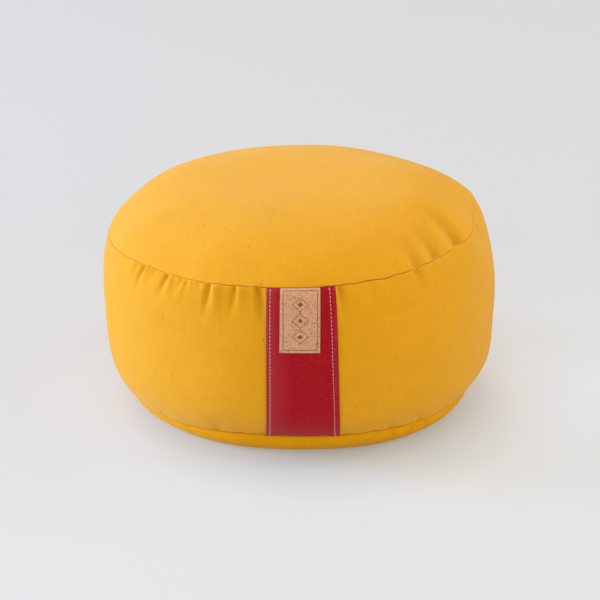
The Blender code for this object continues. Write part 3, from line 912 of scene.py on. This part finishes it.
def makeStitches(finish):  # every stitch is a short arch of thread that dips into the cloth at both ends
    points, faces, uvs = [], [], []
    around, along = 8, 9
    share = np.linspace(0, 1, along)
    radius = strap["thread"] / 2 * np.sqrt(np.clip(1 - (2 * share - 1) ** 6, 0.12, 1))
    turn = np.arange(around) * 2 * math.pi / around
    cosines, sines = np.cos(turn)[None, :, None], np.sin(turn)[None, :, None]
    flatAround = np.append(turn, 0.0) / (2 * math.pi) * strap["thread"] * 3
    quads = gridFaces(along, around)[:, ::-1]
    start, end = baseSeamAt + 0.0010, topSeamAt - 0.0006
    count = round((end - start) / strap["stitchPitch"])
    pitch = (end - start) / count
    for side, seed in (("left", 71), ("right", 72)):
        chance = np.random.default_rng(seed)
        for number in range(count):
            first = start + number * pitch + chance.uniform(-0.0001, 0.0001)
            lengths = first + np.linspace(0.0001, pitch * strap["stitchShare"], along)
            drift = chance.uniform(-strap["stitchStray"], strap["stitchStray"], 2)
            spine, outs = [], []
            for length, part in zip(lengths, share):
                up = bandShare(length)
                left, right = strapEdges(up)
                inward = stitchPlace(side, up) + drift[0] + (drift[1] - drift[0]) * part
                across = np.array([left + inward if side == "left" else right - inward])
                angles = frontAngles(across, length)
                outward = outwardOf(np.array([length]), angles)[0, 0]
                cloth = clothGrid(np.array([length]), angles, taut=True)[0, 0]
                height = strapHeights(length, across)[0] + strap["stitchLift"]
                height -= strap["stitchDip"] * abs(2 * part - 1) ** 3
                spine.append(cloth + outward * height)
                outs.append(outward)
            spine, outs = np.array(spine), np.array(outs)
            sideways = unit(np.cross(unit(np.gradient(spine, axis=0)), outs))
            rim = cosines * sideways[:, None] + sines * outs[:, None]
            rings = spine[:, None] + radius[:, None, None] * rim
            base = len(points)
            tips = base + along * around
            lastRing = tips - around
            points += list(rings.reshape(-1, 3)) + [spine[0], spine[-1]]
            faces += (quads + base).tolist()
            uvs += list(flatCorners(flatAround, lengths[:, None])[:, :, ::-1].reshape(-1, 2))
            for j in range(around):
                k = (j + 1) % around
                faces += [(base + j, base + k, tips), (lastRing + k, lastRing + j, tips + 1)]
                uvs += [(0.0, 0.0)] * 6
    piece = makeMesh("strap_stitches", np.array(points), faces, np.array(uvs), finish)
    return piece


label = {
    "width": 0.0302,
    "length": 0.0468,
    "shift": 0.0010,
    "flare": 0.0006,  # how much further left its lower end goes
    "clearance": 0.0003,
    "thickness": 0.0009,
    "curl": 0.00035,  # of its free corners
    "curlWidth": 0.015,
    "curlLength": 0.006,
    "ripple": 0.00006,
    "rounding": 0.00012,  # of its cut edges
    "roundingWidth": 0.0002,
    "caught": 0.35,  # how much of its height is left in the seam
    "caughtReach": 0.004,
    "edgeColumns": (0.0, 0.00006, 0.00015),
    "edgeInset": 0.0006,
    "columns": 40,
    "rows": 60,
    "seamRows": (0.0022, 0.0014, 0.0008, 0.0003, 0.0),
    "ink": {"colour": (0.11, 0.045, 0.022, 1.0), "line": 0.0005, "inset": 0.0022, "lozenges": 3,
            "pitch": 0.0115, "halfWidth": 0.0062, "halfHeight": 0.0050},
    "cloth": {"deep": (0.56, 0.255, 0.135, 1.0), "colour": (0.84, 0.455, 0.275, 1.0),
              "paleGrain": (0.80, 0.60, 0.45, 1.0), "darkGrain": (0.26, 0.12, 0.06, 1.0),
              "relief": 0.00010},
}


def makeLabel(finish):
    low = topSeamAt - label["length"]
    near = np.array(label["edgeColumns"])
    middleRows = np.linspace(low + 0.0008, topSeamAt - 0.003, label["rows"])
    rows = np.concatenate([low + near, middleRows, topSeamAt - np.array(label["seamRows"]),
                           [topSeamAt + strap["intoSeam"]]])

    def acrossAt(length):
        left = label["shift"] - label["width"] / 2 - label["flare"] * (topSeamAt - length) / label["length"]
        return acrossBetween(left, label["shift"] + label["width"] / 2, label)

    def lifted(length, across):  # the strap's outer face, the label's curl, and how free it is of the seam
        fromMiddle = np.abs(across - label["shift"]) / label["curlWidth"]
        curl = label["curl"] * soften(1 - (length - low) / label["curlLength"]) * fromMiddle ** 4
        free = float(soften((topSeamAt - length) / label["caughtReach"]))
        return strapHeights(length, across), curl, label["caught"] + (1 - label["caught"]) * free

    def outer(length, across):
        wide = acrossAt(length)
        inward = np.minimum(np.minimum(across - wide[0], wide[-1] - across), max(length - low, 0.0))
        rounded = label["rounding"] * (1 - soften(inward / label["roundingWidth"]))
        ripple = label["ripple"] * wander(across * 2500.0 + length * 1400.0, 1, 5, 66)
        base, curl, share = lifted(length, across)
        return base + (label["clearance"] + label["thickness"] - rounded + curl + ripple) * share

    def inner(length, across):
        base, curl, share = lifted(length, across)
        return base + (label["clearance"] + curl) * share

    piece = makeStrip("label_cloth", rows, acrossAt, outer, inner, (label["shift"], low), finish)
    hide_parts("label")
    return piece


def makeStrapCloth():
    finish = Finish("strapCotton")
    cotton = strap["cotton"]
    where, u, v = finish.clothPlace()
    weave = weaveOf(finish, u, v, cotton["thread"])
    slub = finish.slubs(where, *cotton["slubs"])
    cloud = finish.noise(where, cotton["clouds"], 3.0)
    shade = finish.within(cloud * 0.6 + slub * 0.7, 0.0, 0.6)
    colour = finish.blend(shade, cotton["deep"], cotton["colour"])
    up = finish.within(v, baseSeamAt, topSeamAt)
    flare = (1.0 - up) ** 3.0 * strap["flareLeft"]
    fromLeft = u - strapMiddle(up) + strap["flatWidth"] / 2 + flare
    inward = finish.op("MINIMUM", fromLeft, strap["flatWidth"] + flare - fromLeft)
    fromEdge = finish.op("MINIMUM", inward, finish.op("MINIMUM", v - baseSeamAt, topSeamAt - v))
    # painted light: paler towards the strap's left edge and towards its foot
    paler = finish.op("MAXIMUM", finish.within(fromLeft, 0.003, 0.020, 0.50, 0.0),
                      finish.within(up, 0.01, 0.14, 0.40, 0.0))
    colour = finish.blend(paler, colour, cotton["paler"])
    hem = finish.within(inward, 0.0028, 0.0048, 1.0, 0.0)  # paler in specks on the folded edges: speckled cloth, and painted light that the folds catch
    specks = finish.within(finish.noise(where, 560.0, 3.0, 0.7), 0.47, 0.60)
    lint = finish.within(finish.noise(where, 480.0, 2.0, 0.6), 0.54, 0.68)
    colour = finish.blend(hem * (0.04 + specks * 0.5) + lint * 0.30, colour, cotton["lint"])
    # painted shade: a dark line along the strap's edges and where its ends go into the seams
    colour = finish.blend(finish.within(fromEdge, 0.0002, 0.0013, 0.7, 0.0), colour, cotton["edge"])
    finish.surface({
        "Base Color": colour, "Roughness": 0.55,
        "Normal": finish.bump(weave + slub + lint, cotton["relief"]),
        "Sheen Weight": 0.14, "Sheen Roughness": 0.4, "Sheen Tint": (1.0, 0.75, 0.80, 1.0),
        "Specular IOR Level": 0.11})
    return finish


def makeThread():
    finish = Finish("stitchThread")
    thread = strap["stitching"]
    _, u, v = finish.clothPlace()
    twist = finish.op("SINE", u * 6800.0 + v * 9000.0) * 0.5 + 0.5
    colour = finish.blend(twist, thread["deep"], thread["colour"])
    finish.surface({"Base Color": colour, "Roughness": 0.55, "Normal": finish.bump(twist, thread["relief"]),
                    "Sheen Weight": 0.2})
    return finish


def labelPrint(finish, u, v):  # a thin border and three stacked lozenges, as shares of ink
    ink = label["ink"]
    fromMiddle = finish.op("ABSOLUTE", u)
    fromEnd = finish.op("MINIMUM", v, label["length"] - v)
    fromEdge = finish.op("MINIMUM", label["width"] / 2 - fromMiddle, fromEnd)
    total = finish.op("ABSOLUTE", fromEdge - ink["inset"]) < ink["line"] / 2
    for number in range(ink["lozenges"]):
        middle = label["length"] / 2 + (number - (ink["lozenges"] - 1) / 2) * ink["pitch"]
        reach = fromMiddle / ink["halfWidth"] + finish.op("ABSOLUTE", v - middle) / ink["halfHeight"]
        outline = finish.op("ABSOLUTE", reach - 1.0) < ink["line"] / ink["halfWidth"] * 0.7
        total = finish.op("MAXIMUM", total, finish.op("MAXIMUM", outline, reach < 0.35))
    return total


def makeLabelCloth():
    finish = Finish("labelCloth")
    cloth = label["cloth"]
    where, u, v = finish.clothPlace()
    grain = finish.noise(where, 950.0, 4.0, 0.65)
    cells = finish.node("ShaderNodeTexVoronoi", {"feature": "F1"}, {"Vector": where, "Scale": 1150.0}, 1)
    chance = finish.node("ShaderNodeSeparateColor", None, {0: cells})
    shade = finish.within(grain * 0.7 + chance * 0.4, 0.2, 0.9)
    colour = finish.blend(shade, cloth["deep"], cloth["colour"])
    colour = finish.blend((chance > 0.96) * 0.4, colour, cloth["paleGrain"])
    colour = finish.blend((chance < 0.06) * 0.5, colour, cloth["darkGrain"])
    wear = finish.within(finish.noise(where, 380.0, 3.0), 0.30, 0.55, 0.55, 0.9)  # of the print
    colour = finish.blend(labelPrint(finish, u, v) * wear, colour, label["ink"]["colour"])
    finish.surface({
        "Base Color": colour, "Roughness": finish.within(grain, 0.3, 0.7, 0.75, 0.9),
        "Normal": finish.bump(grain + chance * 0.5, cloth["relief"]), "Specular IOR Level": 0.15})
    return finish


makeBand(makeCanvas("bandCanvas", fromBandSeams, canvas["sheens"]["band"]))
makeDisc("topPanel", ringLengths(topSeamAt, topAt, True, False), "topSeam",
         makeCanvas("topCanvas", fromDiscSeam(topAt - topSeamAt), canvas["sheens"]["top"]))
makeDisc("basePanel", ringLengths(0.0, baseSeamAt, False, True)[::-1], "baseSeam",
         makeCanvas("baseCanvas", fromDiscSeam(baseSeamAt), canvas["sheens"]["base"]))
report("panels")
strapPiece = makeStrap(makeStrapCloth())
stitches = makeStitches(makeThread())
labelPiece = makeLabel(makeLabelCloth())
report("strap, stitches and label")

room = {
    "floorHalf": 60.0,
    "floorColour": (0.41, 0.41, 0.41, 1.0),
    "floorGlow": 0.44,  # the floor glows, which is painted light; the glow is painted lighter to the front, with painted light and painted shadow patches
    # painted light: the floor's glow is brighter at the front than at the back
    "frontShade": (0.80, 0.785, 0.77, 1.0),
    "backShade": (0.665, 0.63, 0.60, 1.0),
    "paintedPatches": (  # painted light and painted shadow in the floor's glow: the middle of each, where it is whole and where it ends, in metres, and its shade
        ((0.31, -0.030, 0.0), 0.06, 0.24, (0.86, 0.91, 0.99, 1.0)),  # painted light, cooler, to the right of the cushion
        ((-0.020, -0.030, 0.0), 0.13, 0.21, (0.84, 0.89, 0.90, 1.0)),  # painted light close to the cushion
        ((0.022, -0.052, 0.0), 0.075, 0.17, (0.46, 0.50, 0.50, 1.0))),  # painted shadow in front of its foot
    "worldStrength": 0.57,
    "lampAim": (0.0, 0.0, 0.08),
}
lamps = {  # place, size in metres, power in watts and colour
    "leftWindow": ((-4.5, 0.6, 1.08), 2.0, 166.0, (0.76, 1.0, 1.62)),
    "overhead": ((0.0, 0.5, 4.5), 4.0, 60.0, (0.99, 0.995, 1.01)),
    "rightFill": ((4.2, 0.5, 1.8), 3.0, 47.0, (1.0, 0.96, 0.55)),
    "frontFill": ((0.0, -4.0, 2.0), 3.0, 30.0, (0.97, 1.0, 0.70)),
}


def makeFloor():
    finish = Finish("paleFloor")
    place = finish.node("ShaderNodeNewGeometry")
    y = finish.parts(place)[1]
    # painted light and painted shadow laid into the floor's glow
    paintedGlow = finish.blend(finish.within(y, 0.35, -0.30), room["backShade"], room["frontShade"])
    for middle, whole, gone, shade in room["paintedPatches"]:
        away = finish.node("ShaderNodeVectorMath", {"operation": "DISTANCE"}, {0: place, 1: middle}, 1)
        paintedGlow = finish.blend(finish.within(away, whole, gone, 1.0, 0.0), paintedGlow, shade)
    finish.surface({"Base Color": room["floorColour"], "Roughness": 1.0, "Specular IOR Level": 0.0,
                    "Emission Color": paintedGlow, "Emission Strength": room["floorGlow"]})
    mesh = bpy.data.meshes.new("floor")
    half = room["floorHalf"]
    corners = [(-half, -half, 0), (half, -half, 0), (half, half, 0), (-half, half, 0)]
    mesh.from_pydata(corners, [], [(0, 1, 2, 3)])
    mesh.materials.append(finish.material)
    floor = bpy.data.objects.new("floor", mesh)
    scene.collection.objects.link(floor)


def makeLight(name, place, size, power, colour):
    light = bpy.data.lights.new(name, "AREA")
    light.shape, light.size, light.energy, light.color = "DISK", size, power, colour
    lamp = bpy.data.objects.new(name, light)
    lamp.location = place
    lamp.rotation_euler = (Vector(room["lampAim"]) - Vector(place)).to_track_quat("-Z", "Y").to_euler()
    scene.collection.objects.link(lamp)


def makeWorld():
    world = bpy.data.worlds.new("room")
    world.use_nodes = True
    light = world.node_tree.nodes["Background"].inputs
    light["Color"].default_value = (1.0, 1.0, 1.0, 1.0)
    light["Strength"].default_value = room["worldStrength"]
    scene.world = world


view = {
    "distance": 1.70,
    "elevation": 0.3781,
    "aimHeight": 0.075,
    "focus": 2004.3,  # this and the next two are in the picture's pixels
    "middle": (298.94, 301.67),
    "size": 600.0,
}


def makeCamera():
    data = bpy.data.cameras.new("camera")
    data.sensor_width = 36.0
    data.lens = view["focus"] / view["size"] * data.sensor_width
    data.clip_start, data.clip_end = 0.05, 50.0
    camera = bpy.data.objects.new("camera", data)
    back = Vector((0.0, -math.cos(view["elevation"]), math.sin(view["elevation"])))
    aim = Vector((0.0, caseMiddle.y, view["aimHeight"]))
    right = Vector((1.0, 0.0, 0.0))
    perPixel = view["distance"] / view["focus"]
    slideRight, slideUp = view["size"] / 2 - view["middle"][0], view["middle"][1] - view["size"] / 2
    slide = right * slideRight * perPixel + back.cross(right) * slideUp * perPixel
    camera.location = aim + back * view["distance"] + slide
    camera.rotation_euler = (-back).to_track_quat("-Z", "Y").to_euler()
    scene.collection.objects.link(camera)
    scene.camera = camera


makeFloor()
makeWorld()
for name, settings in lamps.items():
    makeLight(name, *settings)
makeCamera()
report("room, lights and camera")
